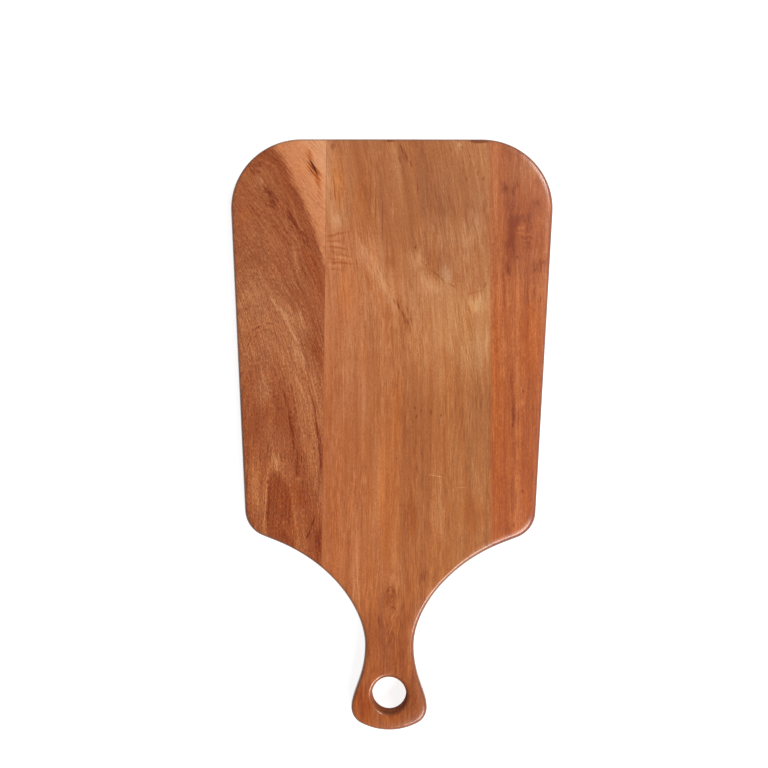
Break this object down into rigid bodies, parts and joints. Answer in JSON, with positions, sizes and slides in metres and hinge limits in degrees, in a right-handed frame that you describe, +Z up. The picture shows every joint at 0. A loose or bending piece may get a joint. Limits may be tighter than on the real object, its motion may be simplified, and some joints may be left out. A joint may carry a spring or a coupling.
{
  "type": "serving board",
  "caption": "flat paddle-shaped wooden serving board, glued up from contrasting staves, with rounded rims and a necked grip pierced by a hanging hole",
  "frame": {"origin": "middle of the board's outline, on the underside it rests on", "axes": "+X to the right and +Y away from the grip, along the board, as seen by someone holding the grip; +Z up out of the serving face"},
  "size_m": [0.2162, 0.388, 0.016],
  "materials": {
    "left_wood": "satin",
    "centre_wood": "satin",
    "right_wood": "satin",
    "glue": "satin"
  },
  "bodies": {
    "root": {"left_stave": "left_wood", "centre_stave": "centre_wood", "right_stave": "right_wood", "left_glue_line": "glue", "right_glue_line": "glue"}
  },
  "joints": []
}
